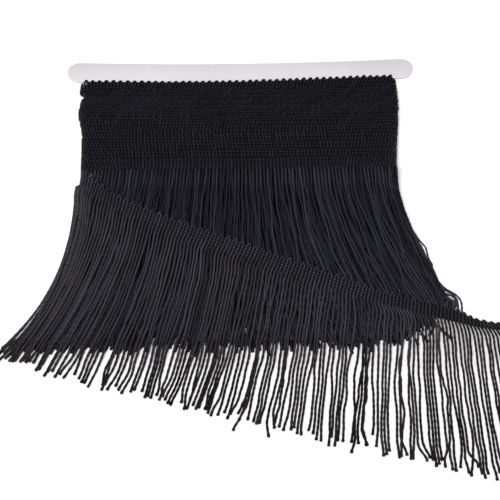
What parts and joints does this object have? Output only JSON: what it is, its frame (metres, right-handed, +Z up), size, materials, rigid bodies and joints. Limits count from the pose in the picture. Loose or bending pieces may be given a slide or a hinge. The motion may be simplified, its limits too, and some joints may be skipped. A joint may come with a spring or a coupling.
{
  "type": "tassel fringe trim on card",
  "caption": "Black chainette tassel fringe wound on a flat lobed card, its loose end laid across the strands and trailing off to one side.",
  "frame": {"origin": "on the surface that the trim lies on, at the middle of the wound heading's flat underside", "axes": "+X along the winding, towards the side that the loose end trails off to; +Y from the strand tips to the card's top bar; +Z up"},
  "size_m": [0.4069, 0.3677, 0.027],
  "materials": {
    "trim": "black rayon-like cord with a faint sheen",
    "card": "plain white, slightly pinkish, smooth"
  },
  "bodies": {
    "root": {"card": "card", "wound_heading": "trim", "back_fringe": "trim", "inner_fringe": "trim", "front_fringe": "trim", "loose_heading": "trim", "loose_fringe": "trim"}
  },
  "joints": []
}
